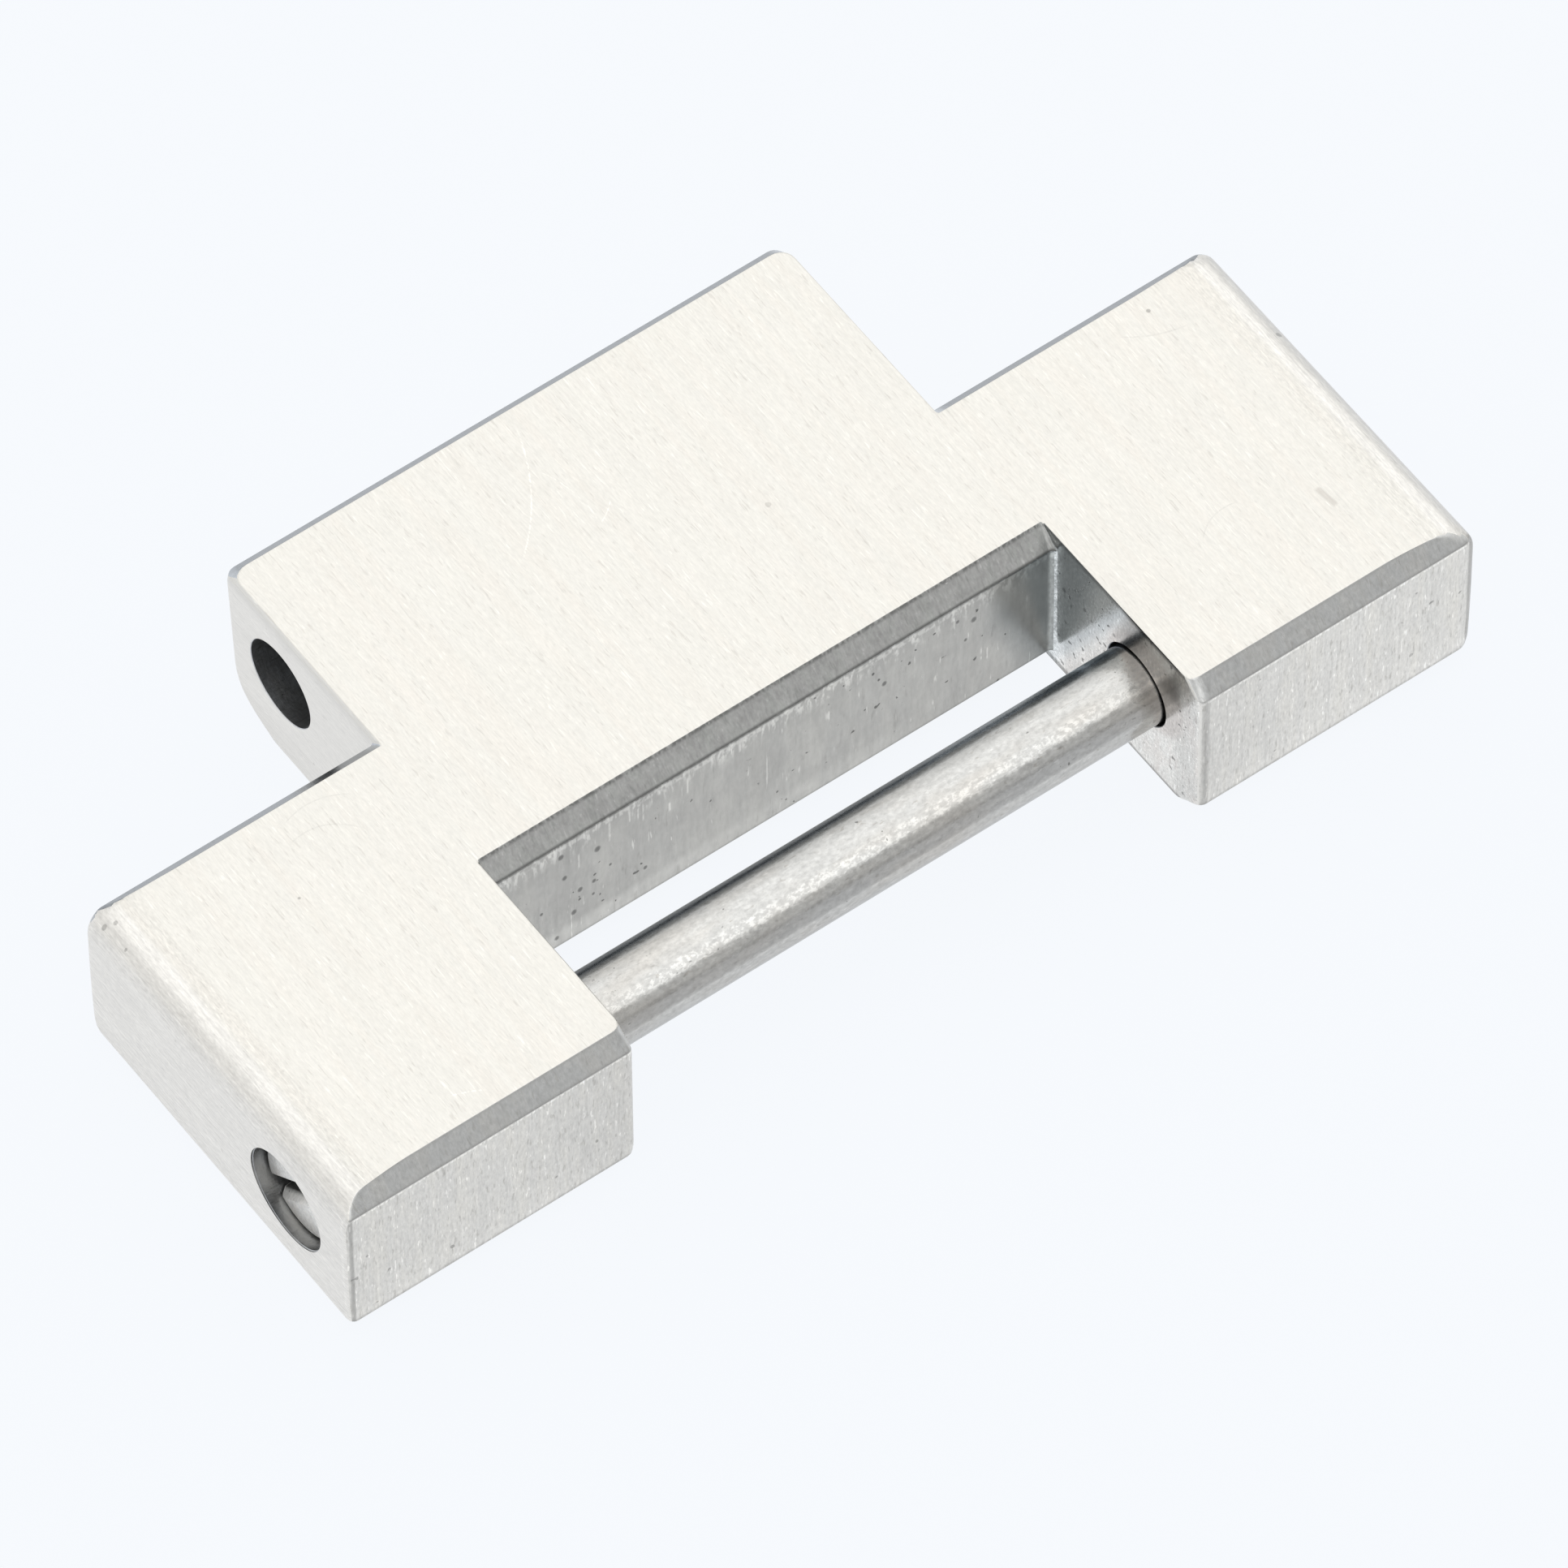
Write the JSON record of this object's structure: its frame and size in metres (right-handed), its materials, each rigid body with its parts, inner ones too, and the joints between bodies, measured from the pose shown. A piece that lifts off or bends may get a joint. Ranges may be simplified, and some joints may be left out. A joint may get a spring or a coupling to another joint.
{
  "type": "watch bracelet link",
  "caption": "Solid steel watch bracelet link with a bored tongue at the back and a two-eared fork in front, closed by a slotted screw pin.",
  "frame": {"origin": "middle of the link's flat underside: centre of the bounding box in X and Y, at its lowest level in Z", "axes": "+X along the screw pin, from its slotted head towards its threaded tip; +Y from the fork's open front to the tongue's back; +Z out of the link's top face"},
  "size_m": [0.022, 0.0112, 0.0035],
  "materials": {
    "body_steel": "satin, brushed along the bracelet's length (along Y), with plain ground chamfers",
    "screw_steel": "turned bright steel with light wear"
  },
  "bodies": {
    "link": {"link_body": "body_steel"},
    "screw": {"screw_pin": "screw_steel"}
  },
  "joints": [
    {"name": "screw_withdrawal", "type": "slide", "parent": "link", "child": "screw", "axis": [-1, 0, 0], "range_m": [0, 0.024]}
  ]
}
